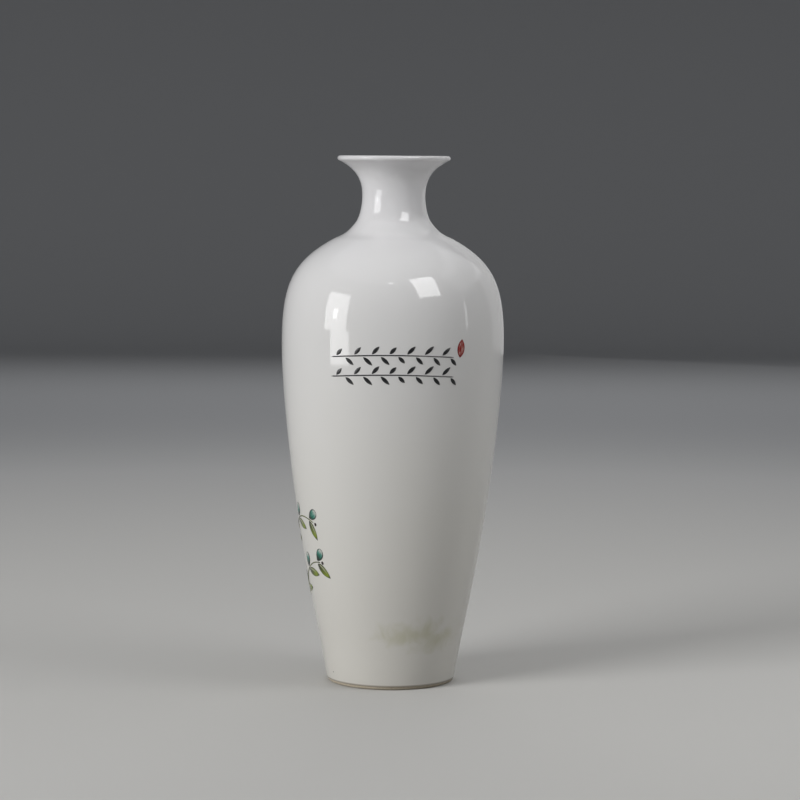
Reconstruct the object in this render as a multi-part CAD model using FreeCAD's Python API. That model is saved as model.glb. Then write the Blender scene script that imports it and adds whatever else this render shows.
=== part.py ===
import FreeCAD, Part
import math
import os

# A porcelain vase thrown in three sections that are luted together with slip, glazed inside and
# out, and painted in enamels over the glaze. All lengths are millimetres. The origin is the centre
# of the foot on the table, +Z is up, and the front of the vase faces -Y.

# Heights of the stations of the glazed outline, each above the station before it
glaze_line_height = 1.8
foot_sweep_height = 25.2
lower_body_height = 141.0
shoulder_height = 50.6
neck_root_height = 8.9
neck_height = 12.5
mouth_flare_height = 17.6

# Glazed diameters at the same stations
foot_diameter = 63.4
foot_sweep_diameter = 72.8
belly_diameter = 109.6
shoulder_diameter = 61.0
neck_root_diameter = 37.0
neck_diameter = 31.0
mouth_diameter = 54.1

# Thickness of the biscuit wall, which thins from the foot up to the lip
foot_sweep_wall = 6.0
belly_wall = 4.2
shoulder_wall = 3.8
neck_root_wall = 3.5
neck_wall = 2.8
lip_thickness = 2.5
floor_thickness = 6.0

# Coats of glaze and enamel, and the slip in each luted seam
outer_coat = 0.4
inner_coat = 0.3
base_coat = 0.35
enamel_coat = 0.25
seam_slip = 0.8

# The coats stand this far off the biscuit, and the enamels off the glaze, so that none cuts in
coat_clearance = 0.04

# The turned foot ring
foot_edge_round = 1.5
foot_ring_width = 4.6
foot_inner_round = 0.8
foot_recess_depth = 6.0
foot_recess_fillet = 2.0

# The painted spray on the left side, its heights above the foot's sweep
spray_height = 44.0
spray_drop = 13.0
teal_leaf_length = 7.4
teal_leaf_width = 5.0
olive_leaf_length = 10.6
olive_leaf_width = 4.0
stem_width = 0.7
bud_diameter = 1.7

# The painted twigs on the front, one above the other, the upper one's height below the belly
twig_drop = 3.8
twig_pitch = 9.4
twig_half_length = 31.0
twig_rise = 1.3
twig_width = 0.6
twig_leaf_length = 5.4
twig_leaf_width = 1.8
red_bud_length = 9.0
red_bud_width = 4.2
red_bud_gap = 3.4

# How far a cutting tool runs past what it cuts
overrun = 5.0

# The outline's tangent at each station, in degrees above the horizontal, outwards
foot_angle = 79.0
foot_sweep_angle = 78.0
belly_angle = 90.0
shoulder_angle = 150.3
neck_root_angle = 126.5
neck_angle = 90.0
mouth_angle = 26.0

# Length of the curve handles at the two ends of each stretch, as shares of its chord
foot_handle_shares = (0.47, 0.46)
lower_body_handle_shares = (0.38, 0.20)
shoulder_handle_shares = (0.50, 0.40)
neck_root_handle_shares = (0.36, 0.58)
neck_handle_shares = (0.26, 0.28)
mouth_handle_shares = (0.34, 0.50)
well_handle_shares = (0.35, 0.55)
foot_edge_handle_shares = (0.35, 0.45)

# Heights that the stations add up to
sweep_z = glaze_line_height + foot_sweep_height
belly_z = sweep_z + lower_body_height
shoulder_z = belly_z + shoulder_height
neck_root_z = shoulder_z + neck_root_height
neck_z = neck_root_z + neck_height
mouth_z = neck_z + mouth_flare_height

# The stations from the edge of the glaze up to the mouth: radius, height, tangent angle, biscuit
# wall, and the handle shares of the stretch that leads up to the next station
lip_wall = lip_thickness - outer_coat - inner_coat - 2 * coat_clearance
stations = {
    "foot": (foot_diameter / 2, glaze_line_height, foot_angle, foot_sweep_wall, foot_handle_shares),
    "sweep": (foot_sweep_diameter / 2, sweep_z, foot_sweep_angle, foot_sweep_wall, lower_body_handle_shares),
    "belly": (belly_diameter / 2, belly_z, belly_angle, belly_wall, shoulder_handle_shares),
    "shoulder": (shoulder_diameter / 2, shoulder_z, shoulder_angle, shoulder_wall, neck_root_handle_shares),
    "neck_root": (neck_root_diameter / 2, neck_root_z, neck_root_angle, neck_root_wall, neck_handle_shares),
    "neck": (neck_diameter / 2, neck_z, neck_angle, neck_wall, mouth_handle_shares),
    "mouth": (mouth_diameter / 2, mouth_z, mouth_angle, lip_wall, None),
}

up = FreeCAD.Vector(0, 0, 1)
centre = FreeCAD.Vector(0, 0, 0)


def point(radius, height):
    """A point of the half section, which lies in the XZ plane."""
    return FreeCAD.Vector(radius, 0, height)


def direction(angle):
    """Unit tangent of the outline at an angle above the horizontal."""
    return point(math.cos(math.radians(angle)), math.sin(math.radians(angle)))


def inward(angle):
    """Unit normal into the wall, a quarter turn on from the tangent."""
    return point(-math.sin(math.radians(angle)), math.cos(math.radians(angle)))


def surface_point(station, depth):
    """The outline's point at a station, moved into the wall by a depth."""
    radius, height, angle = stations[station][:3]
    return point(radius, height) + inward(angle) * depth


# Depths below the glazed surface at which the layers of the wall meet
def glazed(station):
    return 0.0


def coat_back(station):
    return outer_coat


def biscuit_outside(station):
    return outer_coat + coat_clearance


def biscuit_inside(station):
    return biscuit_outside(station) + stations[station][3]


def liner_back(station):
    return biscuit_inside(station) + coat_clearance


def lined(station):
    return liner_back(station) + inner_coat


def enamel_back(station):
    return -coat_clearance


def enamelled(station):
    return -coat_clearance - enamel_coat


def curve(start, start_tangent, end, end_tangent, handle_shares):
    """A cubic curve between two points, leaving and arriving along the given tangents."""
    chord = (end - start).Length
    first_handle = start + start_tangent * (chord * handle_shares[0])
    last_handle = end - end_tangent * (chord * handle_shares[1])
    bezier = Part.BezierCurve()
    bezier.setPoles([start, first_handle, last_handle, end])
    return bezier.toShape()


def outline(layer, first, last):
    """The curves of one layer of the wall from a station up to another."""
    names = list(stations)
    names = names[names.index(first):names.index(last) + 1]
    edges = []
    for lower, upper in zip(names, names[1:]):
        edges.append(
            curve(
                surface_point(lower, layer(lower)),
                direction(stations[lower][2]),
                surface_point(upper, layer(upper)),
                direction(stations[upper][2]),
                stations[lower][4],
            )
        )
    return edges


def line(start, end):
    return Part.makeLine(start, end)


def arc(start, middle, end):
    return Part.Arc(start, middle, end).toShape()


def turned(edges):
    """The solid that a closed half section makes when it turns round the axis."""
    section = Part.Face(Part.Wire(Part.__sortEdges__(edges)))
    return section.revolve(centre, up, 360)


def lip_round(outer_depth, inner_depth):
    """Half-round that closes the wall at the mouth, between two depths."""
    start = surface_point("mouth", outer_depth)
    end = surface_point("mouth", inner_depth)
    crown = (start + end) * 0.5 + direction(mouth_angle) * ((end - start).Length / 2)
    return arc(start, crown, end)


def well(layer, coat_above_floor):
    """The inside of the floor, from the axis out and up to the wall at the foot's sweep."""
    floor_centre = point(0, foot_recess_depth + floor_thickness + coat_above_floor)
    rim = surface_point("sweep", layer("sweep"))
    return curve(floor_centre, direction(0), rim, direction(foot_sweep_angle), well_handle_shares)


# Radii of the foot ring, worked inwards from the biscuit at the edge of the glaze
foot_edge_start = surface_point("foot", biscuit_outside("foot"))
contact_outer_radius = foot_edge_start.x - foot_edge_round
contact_inner_radius = contact_outer_radius - foot_ring_width
recess_radius = contact_inner_radius - foot_inner_round


def foot_underside():
    """The foot ring and the recessed base, from the edge of the glaze in to the axis."""
    fillet_centre = point(recess_radius - foot_recess_fillet, foot_recess_depth - foot_recess_fillet)
    fillet_end = point(recess_radius, fillet_centre.z)
    base_start = point(fillet_centre.x, foot_recess_depth)
    round_end = point(recess_radius, foot_inner_round)
    round_centre = point(contact_inner_radius, foot_inner_round)
    contact_outer = point(contact_outer_radius, 0)
    contact_inner = point(contact_inner_radius, 0)
    return [
        curve(foot_edge_start, direction(foot_angle + 180), contact_outer, direction(180),
              foot_edge_handle_shares),
        line(contact_outer, contact_inner),
        arc(contact_inner, round_centre + direction(225) * foot_inner_round, round_end),
        line(round_end, fillet_end),
        arc(fillet_end, fillet_centre + direction(45) * foot_recess_fillet, base_start),
        line(base_start, point(0, foot_recess_depth)),
    ]


def biscuit():
    """The whole fired wall without its glaze, from which the thrown sections are parted."""
    edges = outline(biscuit_outside, "foot", "mouth")
    edges.append(lip_round(biscuit_outside("mouth"), biscuit_inside("mouth")))
    edges += outline(biscuit_inside, "sweep", "mouth")
    edges.append(well(biscuit_inside, 0))
    edges.append(line(point(0, foot_recess_depth), point(0, foot_recess_depth + floor_thickness)))
    edges += foot_underside()
    return turned(edges)


def parted(whole, bottom, top):
    """The slice of a turned solid between two level cuts, as a rim is trimmed on the wheel."""
    slab = Part.makeCylinder(belly_diameter / 2 + overrun, top - bottom, point(0, bottom), up)
    return whole.common(slab)


def coat_end_at_mouth():
    """Where the outer coat, turned in over the lip, meets the inner coat."""
    return line(surface_point("mouth", liner_back("mouth")), surface_point("mouth", lip_thickness))


def outer_glaze():
    """White coat from its edge above the foot ring, up the outside and over the lip."""
    edges = outline(glazed, "foot", "mouth")
    edges.append(lip_round(0, lip_thickness))
    edges.append(coat_end_at_mouth())
    edges.append(lip_round(outer_coat, liner_back("mouth")))
    edges += outline(coat_back, "foot", "mouth")
    glaze_edge = surface_point("foot", 0)
    back_edge = surface_point("foot", outer_coat)
    roll = (glaze_edge + back_edge) * 0.5 - direction(foot_angle) * (outer_coat / 2)
    edges.append(arc(glaze_edge, roll, back_edge))
    return turned(edges)


def inner_glaze():
    """Poured coat on the inside, from the middle of the floor up to the lip."""
    edges = outline(liner_back, "sweep", "mouth")
    edges += outline(lined, "sweep", "mouth")
    edges.append(well(liner_back, coat_clearance))
    edges.append(well(lined, coat_clearance + inner_coat))
    coat_bottom = foot_recess_depth + floor_thickness + coat_clearance
    edges.append(line(point(0, coat_bottom), point(0, coat_bottom + inner_coat)))
    edges.append(coat_end_at_mouth())
    return turned(edges)


def base_glaze():
    """Coat on the recessed base, turned down round the fillet and stopping short of the ring."""
    fillet_centre = point(recess_radius - foot_recess_fillet, foot_recess_depth - foot_recess_fillet)
    back_fillet = foot_recess_fillet - coat_clearance
    glazed_fillet = back_fillet - base_coat
    back_end = fillet_centre + direction(0) * back_fillet
    glazed_end = fillet_centre + direction(0) * glazed_fillet
    back_top = fillet_centre + up * back_fillet
    glazed_top = fillet_centre + up * glazed_fillet
    return turned(
        [
            line(point(0, back_top.z), back_top),
            arc(back_top, fillet_centre + direction(45) * back_fillet, back_end),
            line(back_end, glazed_end),
            arc(glazed_end, fillet_centre + direction(45) * glazed_fillet, glazed_top),
            line(glazed_top, point(0, glazed_top.z)),
            line(point(0, glazed_top.z), point(0, back_top.z)),
        ]
    )


def enamel_skin():
    """The thin coat that enamel would make all round, from the foot's sweep up to the neck."""
    edges = outline(enamel_back, "sweep", "shoulder")
    edges += outline(enamelled, "sweep", "shoulder")
    for station in ("sweep", "shoulder"):
        back = surface_point(station, enamel_back(station))
        edges.append(line(back, surface_point(station, enamelled(station))))
    return turned(edges)


# Where a leaf's curve handles lie along it, for a round tip, a lance shape and a brushed leaf, and
# across it, and the gap between a leaf and its stem as a share of the stem's stroke
teal_fullness_shares = (0.28, 1.0)
olive_fullness_shares = (0.16, 0.66)
brushed_fullness_shares = (0.25, 0.70)
leaf_handle_share = 0.67
leaf_gap_share = 1.6


def stencil(edges, azimuth):
    """A flat outline in front of the vase, pushed in to the wall and turned to its azimuth."""
    reach = belly_diameter / 2 + overrun
    face = Part.Face(Part.Wire(Part.__sortEdges__(edges)))
    face.translate(FreeCAD.Vector(0, -reach, 0))
    cutter = face.extrude(FreeCAD.Vector(0, reach - foot_diameter / 4, 0))
    cutter.rotate(centre, up, azimuth)
    return cutter


def leaf_edges(base, lean, length, width, fullness_shares):
    """Leaf on a plane, from its base along a lean to its tip, by two curved sides."""
    along = direction(lean)
    tip = base + along * length
    edges = []
    for side in (-1, 1):
        bulge = inward(lean) * (side * width * leaf_handle_share)
        near, far = (base + along * (length * share) + bulge for share in fullness_shares)
        bezier = Part.BezierCurve()
        bezier.setPoles([base, near, far, tip])
        edges.append(bezier.toShape())
    return edges


def stroke_edges(start, crest, end, width):
    """A bowed stroke with round ends on a plane, by a curve on each side of its middle line."""
    half = width / 2
    first = (crest - start).normalize()
    last = (end - crest).normalize()
    near, far = (FreeCAD.Vector(-along.z, 0, along.x) * half for along in (first, last))
    sides = []
    for side in (1, -1):
        bezier = Part.BezierCurve()
        bezier.setPoles([start + near * side, crest + (near + far) * (side / 2), end + far * side])
        sides.append(bezier.toShape())
    return sides + [
        arc(end + far, end + last * half, end - far),
        arc(start + near, start - first * half, start - near),
    ]


def disc_edges(middle, diameter):
    return [Part.makeCircle(diameter / 2, middle, FreeCAD.Vector(0, -1, 0))]


def girth_radius(height):
    """Glazed radius at a height between the foot's sweep and the top of the shoulder."""
    level = line(point(0, height), point(belly_diameter / 2 + overrun, height))
    side = Part.Wire(outline(glazed, "sweep", "shoulder"))
    return side.distToShape(level)[1][0][0].x


def painted(skin, stencils):
    """What each stencil leaves of the enamel skin, as separate solids."""
    solids = []
    for cutter in stencils:
        solids += skin.common(cutter).Solids
    return Part.makeCompound(solids)


def local(azimuth, height, middle_azimuth):
    """A place on the vase as a point of the stencil's plane that faces a middle azimuth."""
    return point(girth_radius(height) * math.sin(math.radians(azimuth - middle_azimuth)), height)


def bowed_stem(root, tip, bow):
    """A stem on the plane that faces its middle: the azimuth it faces, then root, crest and tip."""
    middle_azimuth = (root[0] + tip[0]) / 2
    start = local(*root, middle_azimuth)
    end = local(*tip, middle_azimuth)
    return middle_azimuth, start, (start + end) * 0.5 + up * (2 * bow), end


def stem_stencil(stem, width):
    middle_azimuth, start, crest, end = stem
    return stencil(stroke_edges(start, crest, end, width), middle_azimuth)


def on_stem(stem, share):
    """Azimuth, height and lean of a stem at a share of the way along it."""
    middle_azimuth, start, crest, end = stem
    rest = 1 - share
    place = start * (rest * rest) + crest * (2 * share * rest) + end * (share * share)
    run = (crest - start) * rest + (end - crest) * share
    turn = math.asin(place.x / girth_radius(place.z))
    lean = math.degrees(math.atan2(run.z, run.x / math.cos(turn)))
    return middle_azimuth + math.degrees(turn), place.z, lean


# The spray's stems: azimuth at the root and the tip in degrees from the front, the height of the
# root and of the tip as shares of the spray's drop, and the bow as a share of it
spray_stem_shares = (
    (-148.0, -98.0, 1.2, 1.9, 0.9),
    (-110.0, -55.0, -0.9, 0.8, 0.8),
    (-98.0, -53.0, -2.6, -0.7, 0.5),
    (-180.0, -130.0, -0.5, -1.3, 0.6),
)
leaf_place_shares = (0.20, 0.55, 0.90)
leaf_spread_angle = 44.0


def spray_stems():
    stems = []
    for root_azimuth, tip_azimuth, root_share, tip_share, bow_share in spray_stem_shares:
        base = sweep_z + spray_height
        root = (root_azimuth, base + spray_drop * root_share)
        tip = (tip_azimuth, base + spray_drop * tip_share)
        stems.append(bowed_stem(root, tip, spray_drop * bow_share))
    return stems


def stem_leaf(stem, share, side, length, width, fullness_shares, stem_stroke):
    """One leaf beside a stem, its base just clear of the stem's edge."""
    azimuth, height, stem_lean = on_stem(stem, share)
    lean = stem_lean + side * leaf_spread_angle
    base = point(0, height) + direction(lean) * (stem_stroke * leaf_gap_share)
    return stencil(leaf_edges(base, lean, length, width, fullness_shares), azimuth)


def spray_leaves(side, length, width, fullness_shares):
    leaves = []
    for stem in spray_stems():
        for share in leaf_place_shares:
            leaves.append(stem_leaf(stem, share, side, length, width, fullness_shares, stem_width))
    return leaves


def teal_leaves():
    """Round-tipped leaves on the upper side of the stems."""
    return spray_leaves(1, teal_leaf_length, teal_leaf_width, teal_fullness_shares)


def olive_leaves():
    """Lance-shaped leaves on the lower side of the stems."""
    return spray_leaves(-1, olive_leaf_length, olive_leaf_width, olive_fullness_shares)


def spray_buds():
    """A round bud just past the tip of each stem."""
    buds = []
    for stem in spray_stems():
        azimuth, height, lean = on_stem(stem, 1)
        middle = point(0, height) + direction(lean) * (bud_diameter / 2 + stem_width)
        buds.append(stencil(disc_edges(middle, bud_diameter), azimuth))
    return buds


# The lengths of a twig's leaves one after another, as shares of the full leaf
twig_leaf_shares = (0.80, 1.00, 0.90, 1.10, 0.95, 1.05, 0.85)
twig_leaf_count = 14
red_bud_angle = 82.0


def twig_stems():
    """The two ink stems, along the front below the belly."""
    stems = []
    for drop in (twig_drop, twig_drop + twig_pitch):
        height = belly_z - drop
        half_angle = math.degrees(twig_half_length / girth_radius(height))
        stems.append(bowed_stem((-half_angle, height), (half_angle, height), twig_rise))
    return stems


def twigs():
    """The ink stems with their leaves, set on alternate sides."""
    strokes = []
    for stem in twig_stems():
        strokes.append(stem_stencil(stem, twig_width))
        for place in range(twig_leaf_count):
            share = (place + 0.5) / twig_leaf_count
            side = -1 if place % 2 else 1
            length = twig_leaf_length * twig_leaf_shares[place % len(twig_leaf_shares)]
            strokes.append(
                stem_leaf(stem, share, side, length, twig_leaf_width, brushed_fullness_shares, twig_width)
            )
    return strokes


def red_bud():
    """The closed bud beyond the end of the upper twig."""
    azimuth, height, lean = on_stem(twig_stems()[0], 1)
    base = point(0, height) + direction(lean) * red_bud_gap
    edges = leaf_edges(base, red_bud_angle, red_bud_length, red_bud_width, brushed_fullness_shares)
    return [stencil(edges, azimuth)]


def main():
    os.makedirs("parts", exist_ok=True)
    wall = biscuit()
    skin = enamel_skin()
    top = mouth_z + lip_thickness + overrun
    stems = [stem_stencil(stem, stem_width) for stem in spray_stems()]
    nodes = {
        "lower_body": parted(wall, -overrun, belly_z),
        "belly_luting_slip": parted(wall, belly_z, belly_z + seam_slip),
        "shoulder_section": parted(wall, belly_z + seam_slip, neck_root_z),
        "neck_luting_slip": parted(wall, neck_root_z, neck_root_z + seam_slip),
        "neck_and_mouth": parted(wall, neck_root_z + seam_slip, top),
        "outer_glaze": outer_glaze(),
        "inner_glaze": inner_glaze(),
        "base_glaze": base_glaze(),
        "teal_enamel_leaves": painted(skin, teal_leaves()),
        "olive_enamel_leaves": painted(skin, olive_leaves()),
        "olive_enamel_stems": painted(skin, stems),
        "dark_enamel_buds": painted(skin, spray_buds()),
        "ink_enamel_twig": painted(skin, twigs()),
        "red_enamel_bud": painted(skin, red_bud()),
    }
    for name, shape in nodes.items():
        shape.exportStep("parts/" + name + ".step")


main()
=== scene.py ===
import math

import bmesh
import bpy
from mathutils import Matrix, Vector


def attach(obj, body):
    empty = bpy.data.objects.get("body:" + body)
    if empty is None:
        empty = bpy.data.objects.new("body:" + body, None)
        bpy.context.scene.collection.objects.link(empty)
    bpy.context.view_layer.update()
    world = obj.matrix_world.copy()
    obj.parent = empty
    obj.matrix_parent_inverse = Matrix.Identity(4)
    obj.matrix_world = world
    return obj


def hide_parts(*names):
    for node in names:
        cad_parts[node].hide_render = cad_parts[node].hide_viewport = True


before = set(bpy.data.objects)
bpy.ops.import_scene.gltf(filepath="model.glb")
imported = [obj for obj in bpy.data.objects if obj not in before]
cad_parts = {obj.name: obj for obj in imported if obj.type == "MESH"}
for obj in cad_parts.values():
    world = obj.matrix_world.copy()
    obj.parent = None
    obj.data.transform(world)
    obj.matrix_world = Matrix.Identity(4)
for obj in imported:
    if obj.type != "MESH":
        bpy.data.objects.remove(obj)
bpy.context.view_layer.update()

# Lower body
# The thrown lower section with its floor and its turned foot ring. It is bare biscuit porcelain,
# which shows only as the beige band of the foot ring, below the edge of the glaze and underneath.
# The potter throws it on the wheel, and turns the foot when the clay is leather hard.

mm = 0.001


def direction(angle):
    """Unit tangent of the half section, at an angle above the horizontal, outwards."""
    return Vector((math.cos(math.radians(angle)), 0, math.sin(math.radians(angle))))


def stretch(start, start_angle, end, end_angle, handle_shares=None):
    """Four control points of a curve, which without handle shares is an arc or a straight line."""
    chord = (end - start).length
    if handle_shares is None:
        turn = math.radians(abs(end_angle - start_angle))
        share = 4 / 3 * math.tan(turn / 4) / (2 * math.sin(turn / 2)) if turn else 1 / 3
        handle_shares = (share, share)
    near = start + direction(start_angle) * (chord * handle_shares[0])
    far = end - direction(end_angle) * (chord * handle_shares[1])
    return start, near, far, end


def select_only(piece):
    bpy.ops.object.select_all(action="DESELECT")
    piece.select_set(True)
    bpy.context.view_layer.objects.active = piece


weld_distance = 0.002 * mm
turned_smooth_angle = 35


def turned(name, stretches, steps=180):
    """Spins a closed half section, given as (stretch, points along it), round the axis."""
    bpy.ops.object.select_all(action="DESELECT")
    bpy.ops.curve.primitive_bezier_curve_add()
    piece = bpy.context.object
    piece.name = piece.data.name = name
    piece.data.splines.clear()
    for (start, near, far, end), points_along in stretches:
        spline = piece.data.splines.new("BEZIER")
        spline.resolution_u = points_along
        spline.bezier_points.add(1)
        for knot, place, handle in zip(spline.bezier_points, (start, end), (near, far)):
            knot.handle_left_type = knot.handle_right_type = "FREE"
            knot.co = knot.handle_left = knot.handle_right = place
            if place == start:
                knot.handle_right = handle
            else:
                knot.handle_left = handle
    bpy.ops.object.convert(target="MESH")
    bpy.ops.object.mode_set(mode="EDIT")
    bpy.ops.mesh.select_all(action="SELECT")
    bpy.ops.mesh.remove_doubles(threshold=weld_distance)
    bpy.ops.mesh.spin(steps=steps, angle=2 * math.pi, center=(0, 0, 0), axis=(0, 0, 1))
    bpy.ops.mesh.select_all(action="SELECT")
    bpy.ops.mesh.remove_doubles(threshold=weld_distance)
    bpy.ops.mesh.normals_make_consistent(inside=False)
    bpy.ops.object.mode_set(mode="OBJECT")
    bpy.ops.object.shade_smooth_by_angle(angle=math.radians(turned_smooth_angle))
    return piece


# Stations of the glazed outline: radius, height, tangent angle, biscuit wall, and the handle
# shares of the stretch up to the next station
stations = {
    "foot": (31.7 * mm, 1.8 * mm, 79.0, 6.0 * mm, (0.47, 0.46)),
    "sweep": (36.4 * mm, 27.0 * mm, 78.0, 6.0 * mm, (0.38, 0.20)),
    "belly": (54.8 * mm, 168.0 * mm, 90.0, 4.2 * mm, (0.50, 0.40)),
    "shoulder": (30.5 * mm, 218.6 * mm, 150.3, 3.8 * mm, (0.36, 0.58)),
    "neck_root": (18.5 * mm, 227.5 * mm, 126.5, 3.5 * mm, (0.26, 0.28)),
    "neck": (15.5 * mm, 240.0 * mm, 90.0, 2.8 * mm, (0.34, 0.50)),
    "mouth": (27.05 * mm, 257.6 * mm, 26.0, 1.72 * mm, None),
}
foot_angle, sweep_angle, mouth_angle = (stations[station][2] for station in ("foot", "sweep", "mouth"))
outer_coat = 0.40 * mm
inner_coat = 0.30 * mm
coat_clearance = 0.04 * mm


def surface_point(station, depth):
    """The outline's point at a station, moved into the wall by a depth."""
    radius, height, angle = stations[station][:3]
    return Vector((radius, 0, height)) + direction(angle + 90) * depth


# The wall's layers, each a depth below the glazed outline at a station
def glazed(station):
    return 0.0


def coat_back(station):
    return outer_coat


def biscuit_outside(station):
    return outer_coat + coat_clearance


def biscuit_inside(station):
    return biscuit_outside(station) + stations[station][3]


def outline(layer, first, last, points_along):
    """One layer of the wall from a station up to another, as stretches."""
    names = list(stations)
    names = names[names.index(first):names.index(last) + 1]
    made = []
    for lower, upper in zip(names, names[1:]):
        ends = (surface_point(lower, layer(lower)), stations[lower][2],
                surface_point(upper, layer(upper)), stations[upper][2])
        made.append((stretch(*ends, stations[lower][4]), points_along))
    return made


def flat_point(radius, height):
    return Vector((radius, 0, height))


foot_recess_depth = 6.0 * mm
floor_thickness = 6.0 * mm
foot_ring_width = 4.6 * mm
foot_edge_round = 1.5 * mm
foot_inner_round = 0.8 * mm
foot_recess_fillet = 2.0 * mm
foot_edge = surface_point("foot", biscuit_outside("foot"))
contact_outer = flat_point(foot_edge.x - foot_edge_round, 0)
contact_inner = flat_point(contact_outer.x - foot_ring_width, 0)
recess_radius = contact_inner.x - foot_inner_round
recess_edge = flat_point(recess_radius, foot_inner_round)
fillet_start = flat_point(recess_radius, foot_recess_depth - foot_recess_fillet)
fillet_end = flat_point(recess_radius - foot_recess_fillet, foot_recess_depth)
foot_edge_handle_shares = (0.35, 0.45)
well_handle_shares = (0.35, 0.55)

lower_wall = outline(biscuit_outside, "foot", "belly", 24)
lower_wall += outline(biscuit_inside, "sweep", "belly", 8)
outer_rim = surface_point("belly", biscuit_outside("belly"))
inner_rim = surface_point("belly", biscuit_inside("belly"))
floor_top = flat_point(0, foot_recess_depth + floor_thickness)
well_edge = surface_point("sweep", biscuit_inside("sweep"))
lower_wall += [
    (stretch(inner_rim, 0, outer_rim, 0), 2),
    (stretch(floor_top, 0, well_edge, sweep_angle, well_handle_shares), 12),
    (stretch(foot_edge, foot_angle + 180, contact_outer, 180, foot_edge_handle_shares), 10),
    (stretch(contact_outer, 180, contact_inner, 180), 6),
    (stretch(contact_inner, 180, recess_edge, 90), 6),
    (stretch(recess_edge, 90, fillet_start, 90), 4),
    (stretch(fillet_start, 90, fillet_end, 180), 8),
    (stretch(fillet_end, 180, flat_point(0, foot_recess_depth), 180), 8),
]
lower_body = turned("turned_lower_body", lower_wall, steps=160)
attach(lower_body, "root")
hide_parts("lower_body")


def linear(hex_code):
    """An sRGB hex colour as the linear values that a shader takes."""
    channels = [int(hex_code[i:i + 2], 16) / 255 for i in (1, 3, 5)]
    return [c / 12.92 if c <= 0.04045 else ((c + 0.055) / 1.055) ** 2.4 for c in channels] + [1.0]


def add_node(tree, kind, sockets=None, **settings):
    """Adds a node with its own settings, and its sockets' values or the outputs that feed them."""
    node = tree.nodes.new(kind)
    for name, value in settings.items():
        setattr(node, name, value)
    for socket, value in (sockets or {}).items():
        if isinstance(value, bpy.types.NodeSocket):
            tree.links.new(value, node.inputs[socket])
        else:
            node.inputs[socket].default_value = value
    return node


def set_ramp(node, stops):
    """Gives a colour ramp its stops, as (position, hex colour)."""
    stops_now = node.color_ramp.elements
    while len(stops_now) < len(stops):
        stops_now.new(0.5)
    for stop, (position, hex_code) in zip(stops_now, stops):
        stop.position = position
        stop.color = linear(hex_code)


def mixed(tree, share, first, second, blend_type="MIX"):
    """Mixes two colours, each an output or a hex code."""
    first, second = (linear(colour) if isinstance(colour, str) else colour for colour in (first, second))
    mix = add_node(tree, "ShaderNodeMix", {0: share, 6: first, 7: second},
                   data_type="RGBA", blend_type=blend_type)
    return mix.outputs[2]


def start_material(name):
    """A material with an empty tree, its shader and its output."""
    material = bpy.data.materials.new(name)
    material.use_nodes = True
    tree = material.node_tree
    tree.nodes.clear()
    shader = add_node(tree, "ShaderNodeBsdfPrincipled")
    add_node(tree, "ShaderNodeOutputMaterial", {"Surface": shader.outputs["BSDF"]})
    return material, tree, shader


def dress(piece, material):
    piece.data.materials.clear()
    piece.data.materials.append(material)


# Biscuit is fired porcelain without glaze: matt, beige, finely grained by the clay, and darker and
# browner in a thin line just under the edge of the glaze. The grain is drawn coarser than the real
# one, so that it shows
biscuit, tree, shader = start_material("unglazed_porcelain_biscuit")
grain_size = 0.35 * mm
grain_depth = 0.03 * mm
band_bottom, band_top = 0.2 * mm, 2.0 * mm
place = add_node(tree, "ShaderNodeTexCoord").outputs["Object"]
height = add_node(tree, "ShaderNodeSeparateXYZ", {"Vector": place}).outputs["Z"]
edge_band = add_node(tree, "ShaderNodeMapRange",
                     {"Value": height, "From Min": band_bottom, "From Max": band_top})
edge_colour = add_node(tree, "ShaderNodeValToRGB", {"Fac": edge_band.outputs["Result"]})
set_ramp(edge_colour, [(0.0, "#E3D9C6"), (0.62, "#E6DCC8"), (0.86, "#CDB591"), (0.98, "#9A7F62")])
grain = add_node(tree, "ShaderNodeTexNoise",
                 {"Vector": place, "Scale": 1 / grain_size, "Detail": 3.0, "Roughness": 0.6})
grain_tone = add_node(tree, "ShaderNodeValToRGB", {"Fac": grain.outputs["Fac"]})
set_ramp(grain_tone, [(0.30, "#E4DFD7"), (0.70, "#FFFFFF")])
biscuit_colour = mixed(tree, 1.0, edge_colour.outputs["Color"], grain_tone.outputs["Color"], "MULTIPLY")
tree.links.new(biscuit_colour, shader.inputs["Base Color"])
grain_relief = add_node(tree, "ShaderNodeBump",
                        {"Height": grain.outputs["Fac"], "Strength": 0.5, "Distance": grain_depth})
tree.links.new(grain_relief.outputs["Normal"], shader.inputs["Normal"])
shader.inputs["Roughness"].default_value = 0.78
shader.inputs["IOR"].default_value = 1.5
dress(lower_body, biscuit)


# Luting slip
# Rings of liquid clay that join the thrown sections, at the widest girth and at the root of the
# neck. Brushed on wet and fired with the rest, they are hidden under the glaze.

# Fired slip is matt and chalky, a little paler than the body, with the streaks of the brush
slip, tree, shader = start_material("fired_luting_slip")
slip_streak = 1.2 * mm
slip_depth = 0.05 * mm
place = add_node(tree, "ShaderNodeTexCoord").outputs["Object"]
streaks = add_node(tree, "ShaderNodeTexNoise", {"Vector": place, "Scale": 1 / slip_streak, "Detail": 4.0})
slip_colour = add_node(tree, "ShaderNodeValToRGB", {"Fac": streaks.outputs["Fac"]})
set_ramp(slip_colour, [(0.25, "#D2C6B2"), (0.75, "#E3DCCE")])
tree.links.new(slip_colour.outputs["Color"], shader.inputs["Base Color"])
slip_relief = add_node(tree, "ShaderNodeBump",
                       {"Height": streaks.outputs["Fac"], "Strength": 0.4, "Distance": slip_depth})
tree.links.new(slip_relief.outputs["Normal"], shader.inputs["Normal"])
shader.inputs["Roughness"].default_value = 0.85
for node_name in ("belly_luting_slip", "neck_luting_slip"):
    dress(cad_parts[node_name], slip)


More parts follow.
